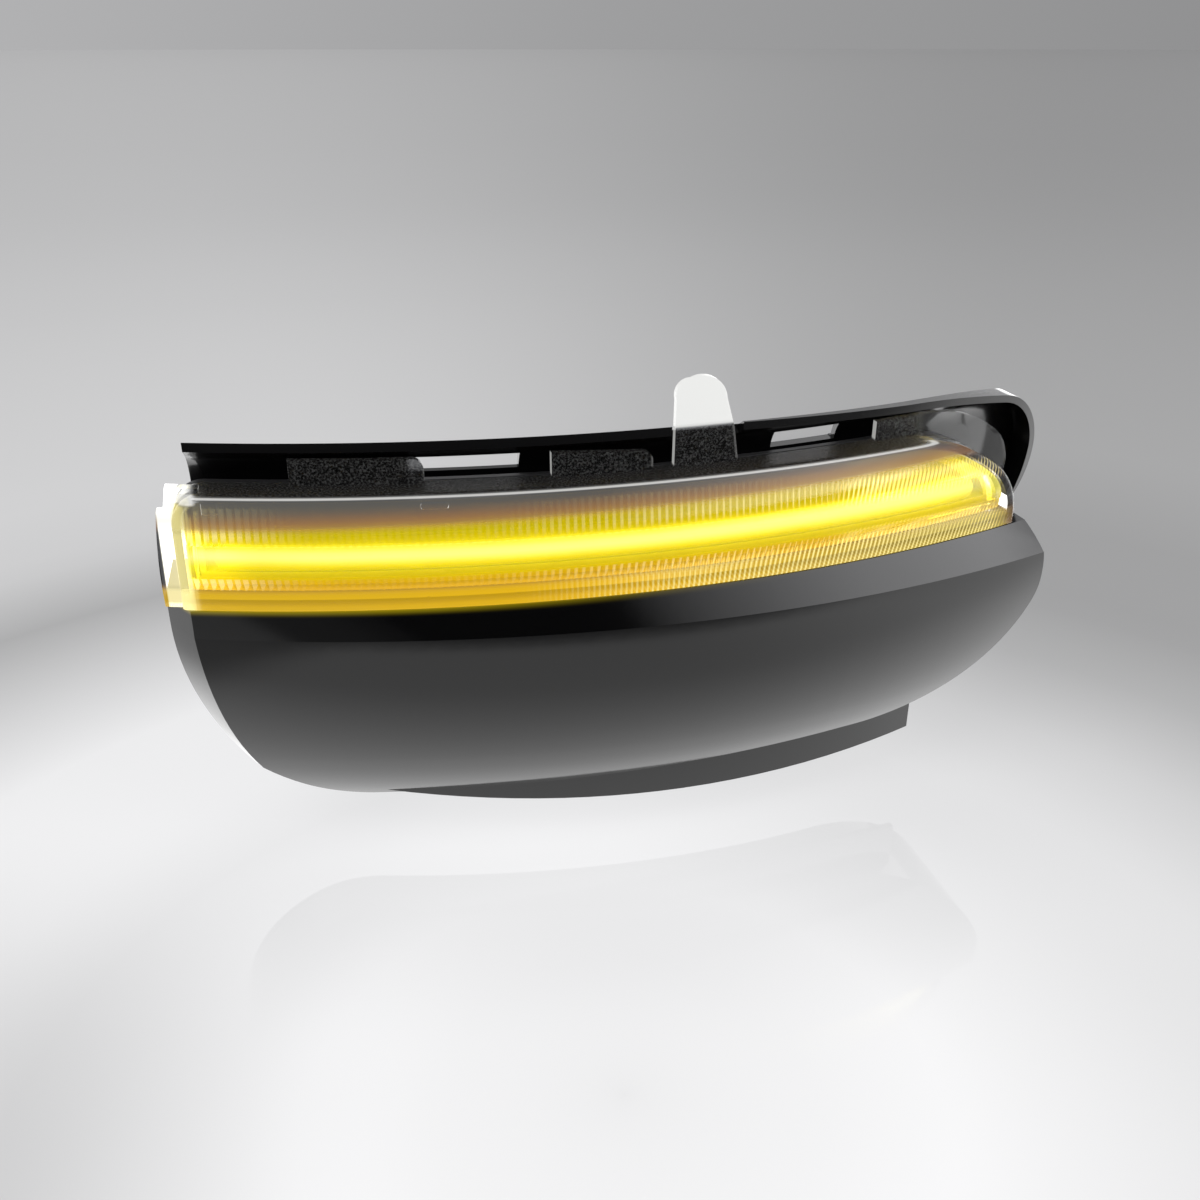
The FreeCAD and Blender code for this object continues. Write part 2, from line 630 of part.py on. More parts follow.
def back_frame():
    face = frame_face()
    outer = frame_skin(FRAME_T).common(prism(face)).common(band(-40.0, FRAME_LIP_W))
    hollow = frame_skin(0.0)
    inner_face = outline((FRAME_LEFT - 5, -5.0), [
        (FRAME_LEFT - 5, 46.0), (FRAME_TOP_X, 46.0)] + frame_end(FRAME_T))
    body = outer.cut(hollow.common(prism(inner_face)))
    clear = prism(inset(lens_face(), CAN_INSET - GAP))
    under = block(FRAME_LEFT - 5, LENS_R - CAN_INSET + GAP, -10.0, 12.0)
    body = body.cut(Part.makeCompound([clear, under]))
    notch = block(TALL_TAB[0] - 0.8, FRAME_TOP_X, 30.0, 50.0)
    body = body.cut(notch.common(band(LENS_BACK - 1.0, 0.0)))
    shelf = block(FRAME_LEFT + 3, LENS_R - 23.5, FRAME_FOOT_Z, FRAME_FOOT_Z + FRAME_FOOT_T)
    shelf = shelf.common(band(FRAME_WALL_W - 3.4, FRAME_WALL_W - 0.5))
    ears = [block(x - 6.0, x + 6.0, FRAME_FOOT_Z, FRAME_FOOT_Z + FRAME_FOOT_T).common(
        band(FRAME_SCREW_W - 4.6, FRAME_WALL_W - 0.5)) for x in FRAME_SCREWS]
    body = body.fuse([shelf] + ears)
    cuts = [post(x, FRAME_SCREW_W, CASE_SCREW[2] + GAP, 20.0, 32.0) for x in FRAME_SCREWS]
    cuts += [block(*window) for window in WINDOWS]
    body = body.cut(Part.makeCompound(cuts))
    # five lengths that meet face to face, so each window stands in a short length of its own
    ends = [FRAME_LEFT - 5.0, FRAME_SIDE + 5.0]
    ends += [x for w in WINDOWS for x in (w[0] - WINDOW_POST, w[1] + WINDOW_POST)]
    ends.sort()
    return Part.makeCompound([body.common(block(a, b, -15.0, 50.0)) for a, b in zip(ends, ends[1:])])


def cover_face(d):
    """Front outline of the lower cover, drawn in by d."""
    floor = [(x, z + d) for x, z in COVER_FLOOR]
    left = corner(floor[0], (COVER_L + d, CREASE_Z), COVER_TIGHT[0] - d)
    right = corner(floor[2], (COVER_R - d, -14.0), COVER_TIGHT[1] - d)
    end = COVER_R - 3.4 - d * 1.2
    return outline((COVER_L + d, 2.0), [
        (COVER_L + d, CREASE_Z), left[3] + left[2], left[1] + left[0],
        floor[1] + right[0], right[1] + right[2], right[3] + right[4],
        (COVER_R - 0.3 - d, -8.0, end, 0.0), (end, 2.0)])


def cover_bevel(d):
    """Front outline of the cover's face, carried back and outwards at the inner end."""
    x0, z0 = COVER_FLOOR[0]
    side = COVER_L + 6.3 + d
    fold = corner((x0, z0 + d), (side, CREASE_Z), COVER_TIGHT[0] - 4.0 - d)
    y0 = y_at(COVER_L + 6.6, 0.0)
    face = path(lambda p: V(p[0], y0 - 40.0, p[1]), (side, 2.0), [
        (side, CREASE_Z), fold[3] + fold[2], fold[1] + fold[0], (x0, -90.0),
        (240.0, -90.0), (240.0, 2.0)])
    run = V(-0.62, 1.0, 0)
    face.translate(V(0.62 * 40.0, 0, 0))
    return face.extrude(run * 140.0)


def cover_arc(t):
    """Centre and radius of the cover's face section."""
    ax, az = 0.0, CREASE_Z
    bx, bz = COVER_FOOT
    chord = math.hypot(bx - ax, bz - az)
    r = (chord / 2) ** 2 / (2 * COVER_BULGE) + COVER_BULGE / 2
    nx, nz = -(bz - az) / chord, (bx - ax) / chord
    cx = (ax + bx) / 2 - nx * (r - COVER_BULGE)
    cz = (az + bz) / 2 - nz * (r - COVER_BULGE)
    return cx, cz, r - t


def cover_body(t):
    """Solid behind the cover's skin, moved in by t."""
    cx, cz, r = cover_arc(t)
    top = CREASE_Z - (1.4 if t else 0.0)

    def on(z):
        return (cx + math.sqrt(r * r - (z - cz) ** 2), z)

    low = swing(on(top), [on((top - 64.0) / 2) + on(-64.0), (-70.0, -64.0), (-70.0, top)],
                COVER_AXIS)
    back = 75.0
    cut = math.radians(HALF_SPAN - 1.5)

    def sector(axis, rad, z):
        p = [V(axis[0] + rad * math.sin(a), axis[1] - rad * math.cos(a), z)
             for a in (-cut, 0.0, cut)]
        far = [V(p[2].x, back, z), V(p[0].x, back, z)]
        return Part.Wire([Part.Arc(*p).toShape(),
                          Part.LineSegment(p[2], far[0]).toShape(),
                          Part.LineSegment(far[0], far[1]).toShape(),
                          Part.LineSegment(far[1], p[0]).toShape()])

    ledge_top = DECK_TOP - (DECK_T if t else 0.0)
    inside = 1.7 if t else 0.0
    ledge = Part.makeLoft([sector(COVER_AXIS, FOOT_R - inside, top),
                           sector(AXIS, FOOT_R - inside * 1.3, ledge_top)], True, True)
    return low.fuse(ledge)


def lower_cover_lip():
    """Set-in flange under the cover's bottom edge, deepening towards the outer end."""
    x0, x1 = COVER_L + 36.6, COVER_R - 32.4
    face = outline((x0, -45.0), [(x0, -58.0), (10.0, -67.0, x1, -63.4), (x1, -45.0)])
    return prism(face).common(band(LIP_IN - LIP_T, LIP_IN, axis=COVER_AXIS))


def lower_cover():
    outer = cover_body(0.0).common(prism(cover_face(0.0))).common(cover_bevel(0.0))
    depth = band(COVER_DEPTH, 40.0)
    outer = outer.common(depth)
    t = COVER_WALL
    hollow = cover_body(t).common(prism(cover_face(t))).common(cover_bevel(t))
    lip = lower_cover_lip().cut(outer)
    ribs = [block(x - 0.9, x + 0.9, -62.0, DECK_TOP - 1.0).common(band(-24.0, 30.0)).common(
        hollow) for x in (-46.0, 24.0, 88.0)]
    body = outer.cut(hollow).fuse([lip] + ribs)
    holes = [post(x, COVER_SCREW_W, CASE_SCREW[2] + GAP, -10.0, 5.0) for x in COVER_SCREWS]
    return body.cut(Part.makeCompound(holes))


def foam_strips():
    """Anti-rattle strips between the cover's deck and the can."""
    z0, z1 = DECK_TOP + 0.03, CAN_INSET - 0.03
    return [band(-27.0, -18.0, z0, z1).common(block(x0, x1, z0 - 1, z1 + 1))
            for x0, x1 in FOAM]


PARTS = {
    "outer_lens": outer_lens,
    "lens_seal": lens_seal,
    "inner_optic": inner_optic,
    "light_bar": light_bar,
    "reflector_tray": reflector_tray,
    "led_board": led_board,
    "leds": leds,
    "resistors": resistors,
    "capacitors": capacitors,
    "driver_chips": driver_chips,
    "board_screws": board_screws,
    "lamp_housing": lamp_housing,
    "connector_socket": connector_socket,
    "socket_seal": socket_seal,
    "contact_pins": contact_pins,
    "vent_plug": vent_plug,
    "back_frame": back_frame,
    "case_screws": case_screws,
    "lower_cover": lower_cover,
    "foam_strips": foam_strips,
}


def main():
    """Builds every piece, with the frame's origin at the mouth of the inner mounting boss."""
    os.makedirs("parts", exist_ok=True)
    x = BOSSES[0]
    origin = V(x, y_at(x, CAN_BACK) + BOSS_LEN, BOSS_Z)
    for name, make in PARTS.items():
        made = make()
        solids = made if isinstance(made, list) else made.Solids
        shape = Part.makeCompound(solids) if len(solids) > 1 else solids[0]
        shape.translate(-origin)
        shape.exportStep("parts/%s.step" % name)
        print(name, len(solids), shape.isValid(), round(shape.Volume))


main()
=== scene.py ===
import functools
import math

import bpy
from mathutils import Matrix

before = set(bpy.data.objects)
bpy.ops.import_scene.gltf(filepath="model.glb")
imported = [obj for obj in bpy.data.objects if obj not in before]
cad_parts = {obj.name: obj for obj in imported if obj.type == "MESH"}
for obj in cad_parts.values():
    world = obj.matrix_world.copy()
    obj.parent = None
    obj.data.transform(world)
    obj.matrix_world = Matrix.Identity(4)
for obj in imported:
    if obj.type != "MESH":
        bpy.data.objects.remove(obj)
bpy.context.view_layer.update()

# Lengths are in metres, in the row frame. The lens foot follows an arc of radius FOOT_R round AXIS,
# seen from above, and BAR_Z is the middle height of the light bar.
AXIS = (0.062, 0.299878)
FOOT_R = 0.345
BAR_Z = -0.0032

# The studio: its floor, the photo's right and depth along that floor, and what the lights face
FLOOR_Z = -0.0946
FLOOR_R = 40.0
FLOOR_MID = (0.040, -0.120)
RIGHT = (0.970, -0.242)
AHEAD = (-RIGHT[1], RIGHT[0])
MIDDLE = (0.068, -0.022, -0.012)

# Fine lines drawn in lens and optic: how many a metre, and how far they lean out as they rise
LINES_A_METRE = 750.0
LINE_LEAN = 0.35
LINE_FOOT_Z = -0.013

# Painted light on the lens: how strongly each zone glows, and how far it is darkened as painted
# shade
LENS_PAINTED_GLOW = {"band": 0.55, "foot": 0.78, "teeth": 0.56, "lit_end": 0.36, "speck": 0.27,
             "ends": 0.34, "web": 0.28, "tip": 0.56, "corner": 0.16, "rim": 0.12, "marks": 0.8}
LENS_PAINTED_SHADE = {"grain": 0.98, "band": 0.88, "foot": 0.90, "edge": 1.0}
# Zones whose painted glow is a white highlight
LENS_PAINTED_HIGHLIGHTS = ("web", "tip", "ends", "corner", "rim", "marks")

# Floor brightness as (distance from its middle, level), on the photo's left and right
# These levels are the floor's light, painted in as its own glow
FLOOR_LEFT = [(0.0, 0.84), (0.04, 0.95), (0.07, 1.0), (0.10, 0.94), (0.13, 0.84), (0.16, 0.90),
              (0.21, 0.88), (0.25, 0.62), (0.31, 0.27), (0.37, 0.54), (0.45, 0.59), (0.9, 0.51),
              (2.6, 0.47), (FLOOR_R, 0.415)]
FLOOR_RIGHT = [(0.0, 0.84), (0.04, 0.95), (0.07, 1.0), (0.10, 0.90), (0.13, 0.81), (0.16, 0.76),
               (0.20, 0.58), (0.25, 0.32), (0.30, 0.19), (0.38, 0.19), (0.50, 0.26), (0.9, 0.24),
               (2.6, 0.21), (FLOOR_R, 0.175)]

# The power that spreads those distances, the share of the floor that shines by itself, and how
# much of it mirrors the lamp
FLOOR_BEND = 0.25
FLOOR_OWN = 0.78
FLOOR_POLISH = 0.09

# World light: level for diffuse rays, and how much stronger gloss sees the room
SKY_FILL = 0.55
SKY_GLOSS = 4.0


def grey(level, cool):
    """A grey with its blue raised by a factor."""
    return (level, level, level * cool)


class Nodes:
    """Short ways to write the nodes of a material or a world."""

    def __init__(self, nt, output):
        self.nt = nt
        nt.nodes.clear()
        self.out = self.add(output)

    def add(self, kind):
        return self.nt.nodes.new("ShaderNode" + kind)

    def link(self, value, socket):
        if isinstance(value, bpy.types.NodeSocket):
            self.nt.links.new(value, socket)
        elif isinstance(value, tuple) and len(value) == 3 and socket.type == "RGBA":
            socket.default_value = (*value, 1.0)
        else:
            socket.default_value = value

    def math(self, kind, a, b=0.0, c=0.0, clamp=False):
        n = self.add("Math")
        n.operation, n.use_clamp = kind, clamp
        for value, socket in zip((a, b, c), n.inputs):
            self.link(value, socket)
        return n.outputs[0]

    def times(self, *values):
        return functools.reduce(lambda a, b: self.math("MULTIPLY", a, b), values)

    def most(self, *values):
        return functools.reduce(lambda a, b: self.math("MAXIMUM", a, b), values)

    def away(self, value, at):
        """Distance of a value from a place."""
        return self.math("ABSOLUTE", self.math("SUBTRACT", value, at))

    def along(self, x, y, way):
        """How far a place or a ray goes along a level direction."""
        return self.math("MULTIPLY_ADD", y, way[1], self.math("MULTIPLY", x, way[0]))

    def span(self, value, low, high, smooth=True):
        """0 at low, 1 at high."""
        n = self.add("MapRange")
        n.interpolation_type = "SMOOTHSTEP" if smooth else "LINEAR"
        self.link(value, n.inputs["Value"])
        n.inputs["From Min"].default_value = low
        n.inputs["From Max"].default_value = high
        return n.outputs["Result"]

    def blend(self, share, a, b):
        n = self.add("Mix")
        n.data_type = "RGBA"
        self.link(share, n.inputs[0])
        self.link(a, n.inputs[6])
        self.link(b, n.inputs[7])
        return n.outputs[2]

    def ramp(self, value, stops):
        n = self.add("ValToRGB")
        self.link(value, n.inputs[0])
        ends = n.color_ramp.elements
        while len(ends) < len(stops):
            ends.new(0.5)
        for e, (at, colour) in zip(ends, stops):
            e.position, e.color = at, (*colour, 1.0)
        return n.outputs[0]

    def mix_shaders(self, share, a, b):
        n = self.add("MixShader")
        for value, socket in zip((share, a, b), n.inputs):
            self.link(value, socket)
        return n.outputs[0]


class Tree(Nodes):
    """A material's nodes, with the place of each point in the row frame."""

    def __init__(self, name):
        self.mat = bpy.data.materials.new(name)
        self.mat.use_nodes = True
        super().__init__(self.mat.node_tree, "OutputMaterial")
        self.place = self.add("TexCoord").outputs["Object"]
        xyz = self.add("SeparateXYZ")
        self.link(self.place, xyz.inputs[0])
        self.x, self.y, self.z = xyz.outputs

    def noise(self, scale, detail=2.0, stretch=None):
        n = self.add("TexNoise")
        n.inputs["Scale"].default_value = scale
        n.inputs["Detail"].default_value = detail
        where = self.place
        if stretch:
            m = self.add("Mapping")
            m.inputs["Scale"].default_value = stretch
            self.link(self.place, m.inputs[0])
            where = m.outputs[0]
        self.link(where, n.inputs["Vector"])
        return n.outputs[0]

    def cells(self, scale):
        n = self.add("TexVoronoi")
        n.inputs["Scale"].default_value = scale
        self.link(self.place, n.inputs["Vector"])
        return n.outputs["Distance"]

    def bump(self, height, depth, strength=1.0):
        n = self.add("Bump")
        n.inputs["Distance"].default_value = depth
        self.link(strength, n.inputs["Strength"])
        self.link(height, n.inputs["Height"])
        return n.outputs[0]

    def front(self):
        """How far a point lies in front of the plan arc of the lens foot."""
        flat = self.add("CombineXYZ")
        self.link(self.x, flat.inputs[0])
        self.link(self.y, flat.inputs[1])
        n = self.add("VectorMath")
        n.operation = "DISTANCE"
        self.link(flat.outputs[0], n.inputs[0])
        n.inputs[1].default_value = (*AXIS, 0.0)
        return self.math("SUBTRACT", n.outputs["Value"], FOOT_R)

    def rising(self):
        """Height, less a share that lets the lit zone's top climb towards the outer end."""
        climb = self.times(self.math("SUBTRACT", self.x, 0.045), 0.017)
        return self.math("SUBTRACT", self.z, self.times(climb, self.span(self.z, 0.0, 0.006)))

    def stripes(self):
        """Fine upright lines round the plan arc, leaning outwards with height; 1 on a line."""
        turn = self.math("ARCTAN2", self.math("SUBTRACT", self.x, AXIS[0]),
                         self.math("SUBTRACT", AXIS[1], self.y))
        run = self.times(turn, FOOT_R)
        slant = self.times(self.math("SUBTRACT", self.z, LINE_FOOT_Z), self.span(self.x, 0.04, 0.16))
        count = self.times(self.math("MULTIPLY_ADD", slant, -LINE_LEAN, run), LINES_A_METRE)
        return self.span(self.away(self.math("FRACT", count), 0.5), 0.30, 0.08)

    def lean(self):
        """-1 to 1: which way along the lamp a face leans, from its own normal."""
        way = self.add("CombineXYZ")
        self.link(self.times(self.math("SUBTRACT", AXIS[1], self.y), 1.0 / FOOT_R), way.inputs[0])
        self.link(self.times(self.math("SUBTRACT", self.x, AXIS[0]), 1.0 / FOOT_R), way.inputs[1])
        n = self.add("VectorMath")
        n.operation = "DOT_PRODUCT"
        self.link(self.add("NewGeometry").outputs["True Normal"], n.inputs[0])
        self.link(way.outputs[0], n.inputs[1])
        return n.outputs["Value"]

    def surface(self, **inputs):
        n = self.add("BsdfPrincipled")
        for name, value in inputs.items():
            self.link(value, n.inputs[name.replace("_", " ")])
        self.link(n.outputs[0], self.out.inputs[0])
        return n.outputs[0]

    def let_lamps_through(self, shader, tint):
        """Light from the studio lamps passes the shader, in the tint's colour."""
        clear = self.add("BsdfTransparent")
        self.link(tint, clear.inputs[0])
        ray = self.add("LightPath").outputs["Is Shadow Ray"]
        self.link(self.mix_shaders(ray, shader, clear.outputs[0]), self.out.inputs[0])


def lens_zones(t):
    """Parts of the clear lens by name: 1 inside, 0 outside, soft between."""
    # Each zone carries painted light in clear_lens: white highlights on the web, tip, ends, corner,
    # rim and marks, and a glow of the lamp's light on the band, foot, teeth, lit end and grain
    # specks.
    front = t.front()
    side = t.math("ABSOLUTE", t.lean())
    skin = t.times(t.span(front, -0.0078, -0.0070), t.span(t.z, 0.0140, 0.0137))
    behind = t.span(skin, 1.0, 0.0)
    edge = t.span(t.x, -0.0470, -0.0474)
    inside = t.span(edge, 1.0, 0.0)

    grain = t.times(t.times(behind, t.span(t.z, 0.0112, 0.0122)),
                    t.times(t.span(t.x, 0.150, 0.145), t.span(t.x, -0.0400, -0.0385)))
    speck = t.times(grain, t.span(t.noise(1900.0, 3.0), 0.40, 0.72))
    ends = t.times(behind, t.span(t.z, 0.0140, 0.0150), t.span(side, 0.80, 0.95))
    tip = t.span(t.z, 0.0236, 0.0244)

    head = t.times(t.span(t.x, -0.0375, -0.0390), t.span(t.z, 0.0116, 0.0122))
    web = t.times(t.most(head, t.span(t.x, -0.0436, -0.0442)), inside)
    seams = t.most(*[t.span(t.away(t.x, at), 0.00022, 0.00008) for at in (-0.0396, -0.0405)])
    lit_end = t.times(t.span(t.x, -0.0392, -0.0425), t.span(t.z, 0.0122, 0.0112))
    lit_end = t.times(lit_end, t.math("MULTIPLY_ADD", seams, -0.55, inside))

    band = t.times(t.span(t.rising(), 0.0060, 0.0084), skin)
    rim = t.times(t.span(t.away(t.z, 0.0134), 0.00035, 0.00010), skin)
    # marks: painted white glints on the side faces within the band
    marks = t.times(t.span(side, 0.45, 0.80), band, t.span(t.x, -0.0400, -0.0380))
    foot = t.times(t.span(t.z, -0.0070, -0.0092), t.span(front, -0.0070, -0.0020),
                   t.span(t.x, 0.179, 0.172))
    corner = t.times(t.span(t.x, 0.1790, 0.1800), t.span(t.z, -0.0085, -0.0105))

    ribs = t.times(t.stripes(), t.span(t.x, 0.030, 0.090), skin)
    high = t.times(t.span(t.away(t.z, 0.0045), 0.0040, 0.0020), t.span(t.x, 0.110, 0.130))
    low = t.span(t.z, -0.0055, -0.0085)
    teeth = t.times(t.most(high, low), ribs, t.span(t.x, 0.176, 0.168))
    return {"skin": skin, "edge": edge, "grain": grain, "speck": speck, "ends": ends, "tip": tip,
            "web": web, "lit_end": lit_end, "band": band, "rim": rim, "marks": marks,
            "foot": foot, "corner": corner, "teeth": teeth}


def clear_lens():
    """Clear shell, grained on the shelf and tabs, with a painted glow for the light that its edges
    catch.

    The web at the inner end and the tall tab's tip are painted lit white, the foot is painted amber
    light with fine ribs, and the band above the light is a painted grey glow that turns rosy towards
    it.
    """
    t = Tree("clear_lens")
    zones = lens_zones(t)
    # Colour of the painted glow: rosy grey in the band above the light, amber on the foot, yellow on
    # the teeth and lit end
    hue = t.blend(t.span(t.rising(), 0.0076, 0.0124), (0.34, 0.17, 0.08), (0.115, 0.115, 0.113))
    amber = t.ramp(t.span(t.x, -0.04, 0.17), [
        (0.0, (0.62, 0.38, 0.01)), (0.5, (0.74, 0.42, 0.002)), (1.0, (0.28, 0.20, 0.01))])
    hue = t.blend(zones["foot"], hue, amber)
    hue = t.blend(zones["teeth"], hue, (1.0, 0.84, 0.30))
    hue = t.blend(zones["lit_end"], hue, (1.0, 0.88, 0.34))
    # Painted white highlight, warming towards the light below
    white = t.blend(t.span(t.z, 0.0125, -0.006), (1.0, 1.0, 0.97), (1.0, 0.88, 0.42))
    hue = t.blend(t.most(*[zones[name] for name in LENS_PAINTED_HIGHLIGHTS]), hue, white)

    # Painted glow: emission that stands in for the lamp's light and the highlights on the lens
    glow = t.most(*[t.times(zones[name], power) for name, power in LENS_PAINTED_GLOW.items()])
    # Painted shade: the clear tint is darkened in these zones, standing in for the dark parts seen
    # through them
    lens_shade = t.most(*[t.times(zones[name], share) for name, share in LENS_PAINTED_SHADE.items()])
    clear = t.blend(t.noise(60.0), (0.97, 0.975, 0.975), (0.99, 0.99, 0.985))
    pits = t.math("ADD", t.noise(1700.0, 3.0), t.noise(4200.0, 1.0))
    relief = t.bump(pits, 0.00022, zones["grain"])
    rough = t.math("MULTIPLY_ADD", zones["grain"], 0.14, 0.02)
    rough = t.math("MULTIPLY_ADD", t.most(zones["band"], zones["foot"]), 0.30, rough)
    polished = t.times(zones["skin"], t.span(t.x, 0.150, 0.110))
    shader = t.surface(
        Base_Color=t.blend(lens_shade, clear, (0.040, 0.041, 0.043)), Roughness=rough,
        Transmission_Weight=1.0, IOR=1.14, Coat_IOR=1.45, Coat_Roughness=0.04,
        Coat_Weight=t.math("MULTIPLY_ADD", polished, 0.36, 0.08),
        Emission_Color=hue, Emission_Strength=glow, Normal=relief, Coat_Normal=relief)
    t.let_lamps_through(shader, (0.95, 0.955, 0.955))
    return t.mat


def ribbed_optic():
    """Fluted plate, its light painted in as glow: pale on the bar's line, yellow round it, amber at
    its edges, with painted highlights and shade on the flutes.
    """
    t = Tree("ribbed_optic")
    hue = t.ramp(t.span(t.rising(), -0.0115, 0.0110, smooth=False), [
        (0.00, (0.54, 0.30, 0.002)), (0.08, (0.62, 0.36, 0.002)), (0.15, (0.62, 0.42, 0.002)),
        (0.21, (0.60, 0.53, 0.0)), (0.36, (0.74, 0.68, 0.002)), (0.46, (0.94, 0.90, 0.36)),
        (0.56, (0.74, 0.69, 0.003)), (0.68, (0.60, 0.56, 0.0)), (0.79, (0.56, 0.48, 0.002)),
        (0.86, (0.34, 0.18, 0.03)), (0.92, (0.13, 0.09, 0.05)), (1.00, (0.08, 0.07, 0.06))])
    shown = t.most(t.span(t.x, -0.013, -0.034), t.span(t.x, 0.020, 0.075))
    fluted = t.times(t.span(t.away(t.z, -0.0022), 0.0036, 0.0058),
                     t.math("MULTIPLY_ADD", shown, 0.90, 0.10))
    side = t.lean()
    # Painted highlights: fine lit lines near the outer end and the flute faces leaning one way; the
    # faces leaning the other way take a painted shade
    cast = t.times(t.stripes(), t.span(t.x, 0.116, 0.128))
    crest = t.times(t.most(t.span(side, 0.15, 0.60), cast), fluted)
    shade = t.times(t.span(side, -0.15, -0.60), fluted)
    hue = t.blend(t.times(crest, 0.85), hue, (1.0, 0.92, 0.46))
    hue = t.blend(t.times(shade, 0.50), hue, (0.34, 0.24, 0.0))

    fade = t.math("MULTIPLY_ADD", t.span(t.x, 0.176, 0.150), 0.35, 0.65)
    fade = t.math("MULTIPLY_ADD", t.span(t.x, -0.024, -0.036), 0.45, fade)
    power = t.times(fade, t.math("MULTIPLY_ADD", t.noise(60.0), 0.05, 0.37))
    clear = t.span(t.away(t.z, -0.0016), 0.0026, 0.0044)
    shader = t.surface(
        Base_Color=t.blend(clear, (0.95, 0.92, 0.62), (0.70, 0.60, 0.14)), Roughness=0.10,
        Transmission_Weight=1.0, IOR=1.22, Emission_Color=hue, Emission_Strength=power,
        Normal=t.bump(t.noise(900.0), 0.00003))
    t.let_lamps_through(shader, (1.0, 0.9, 0.5))
    return t.mat


def light_guide():
    """Glowing bar, palest along its middle and duller at the inner end."""
    t = Tree("light_guide")
    core = t.times(t.span(t.away(t.z, BAR_Z), 0.0034, 0.0), t.span(t.x, -0.036, -0.010))
    hue = t.ramp(core, [
        (0.0, (0.80, 0.58, 0.0)), (0.5, (0.95, 0.80, 0.02)), (1.0, (1.0, 0.92, 0.30))])
    spots = t.span(t.noise(130.0), 0.3, 0.7)
    power = t.math("MULTIPLY_ADD", core, 0.14, t.math("MULTIPLY_ADD", spots, 0.03, 0.06))
    t.surface(Base_Color=(0.40, 0.31, 0.04), Roughness=0.25, Emission_Color=hue,
              Emission_Strength=power)
    return t.mat


def reflector():
    """White tray, with the bar's light painted into its colour and glow: lit near the bar and more
    orange below it.
    """
    t = Tree("reflector")
    # near: where the bar's light is painted into the tray's colour and glow; low: where that painted
    # glow turns more orange
    near = t.span(t.away(t.z, BAR_Z), 0.0115, 0.0)
    low = t.span(t.z, BAR_Z - 0.003, BAR_Z - 0.008)
    colour = t.blend(near, (0.16, 0.14, 0.10), (0.46, 0.36, 0.08))
    t.surface(Base_Color=t.blend(t.noise(200.0), colour, (0.34, 0.29, 0.12)),
              Roughness=t.span(t.noise(700.0), -0.3, 1.6),
              Emission_Color=t.blend(low, (0.9, 0.66, 0.0), (0.9, 0.40, 0.02)),
              Emission_Strength=t.math("MULTIPLY_ADD", near, 0.08, 0.01),
              Normal=t.bump(t.noise(1300.0, 3.0), 0.00008))
    return t.mat


def moulded(name, colour, rough, grain, depth):
    """Moulded plastic with a fine grain, faint flow marks and a worn sheen."""
    t = Tree(name)
    lighter = tuple(c * 1.25 + 0.002 for c in colour)
    flow = t.noise(14.0, 3.0, (0.4, 1.0, 1.6))
    wear = t.math("MULTIPLY_ADD", t.noise(55.0, 4.0), 0.14, rough - 0.07)
    t.surface(Base_Color=t.blend(flow, colour, lighter), Roughness=wear,
              Normal=t.bump(t.noise(grain, 3.0), depth))
    return t.mat


def frame_black():
    """Satin black moulding, duller at its inner end than at its outer end: the sheen that grows
    outwards is painted, and so is a reflection in the hollow at the inner end.
    """
    t = Tree("frame_black")
    # Painted sheen towards the outer end, and a painted reflection in the hollow behind the lens at
    # the inner end
    painted_sheen = t.times(t.span(t.x, 0.03, 0.16), 0.7)
    hollow = t.times(t.span(t.front(), -0.0140, -0.0165), t.span(t.x, -0.020, -0.032))
    colour = t.blend(t.noise(14.0, 3.0), (0.0022, 0.0022, 0.0024), (0.004, 0.004, 0.0043))
    t.surface(Base_Color=colour, IOR=1.18, Coat_IOR=1.5, Coat_Roughness=0.12,
              Roughness=t.math("MULTIPLY_ADD", t.noise(55.0, 4.0), 0.10, 0.16),
              Coat_Weight=t.most(painted_sheen, hollow), Normal=t.bump(t.noise(1900.0, 3.0), 0.000015))
    return t.mat


def gloss_shell():
    """Gloss black shell; the lamp's light that spills a little on the ledge right under the lens is
    a painted yellow glow.
    """
    t = Tree("shell_gloss")
    colour = t.blend(t.noise(10.0, 2.0), (0.0012, 0.0012, 0.0013), (0.0022, 0.0022, 0.0024))
    dust = t.span(t.noise(2600.0, 2.0), 0.62, 0.75)
    rough = t.math("MULTIPLY_ADD", t.noise(30.0, 3.0), 0.05, 0.08)
    rough = t.math("MULTIPLY_ADD", dust, 0.08, rough)
    # spill: a painted yellow glow for the lamp's light on the ledge under the lens
    spill = t.times(t.span(t.z, -0.0150, -0.0131), t.span(t.x, 0.14, 0.0),
                    t.span(t.front(), -0.0040, -0.0020))
    t.surface(Base_Color=colour, Roughness=rough, IOR=1.46,
              Emission_Color=t.blend(t.noise(25.0), (0.52, 0.40, 0.0), (0.60, 0.46, 0.01)),
              Emission_Strength=t.times(t.math("POWER", spill, 1.8), 0.38),
              Normal=t.bump(t.noise(420.0, 2.0), 0.000005))
    return t.mat


def solder_mask():
    """Green board with faint wandering tracks along it and a fine weave."""
    t = Tree("board")
    wander = t.math("ADD", t.y, t.times(t.noise(40.0), 0.01))
    tracks = t.span(t.math("FRACT", t.times(wander, 520.0)), 0.42, 0.5)
    weave = t.times(*[t.math("SINE", t.times(way, 9000.0)) for way in (t.x, t.y)])
    t.surface(Base_Color=t.blend(tracks, (0.02, 0.085, 0.035), (0.035, 0.15, 0.055)),
              Roughness=0.32, Coat_Weight=0.4,
              Normal=t.bump(t.math("ADD", tracks, weave), 0.00002))
    return t.mat


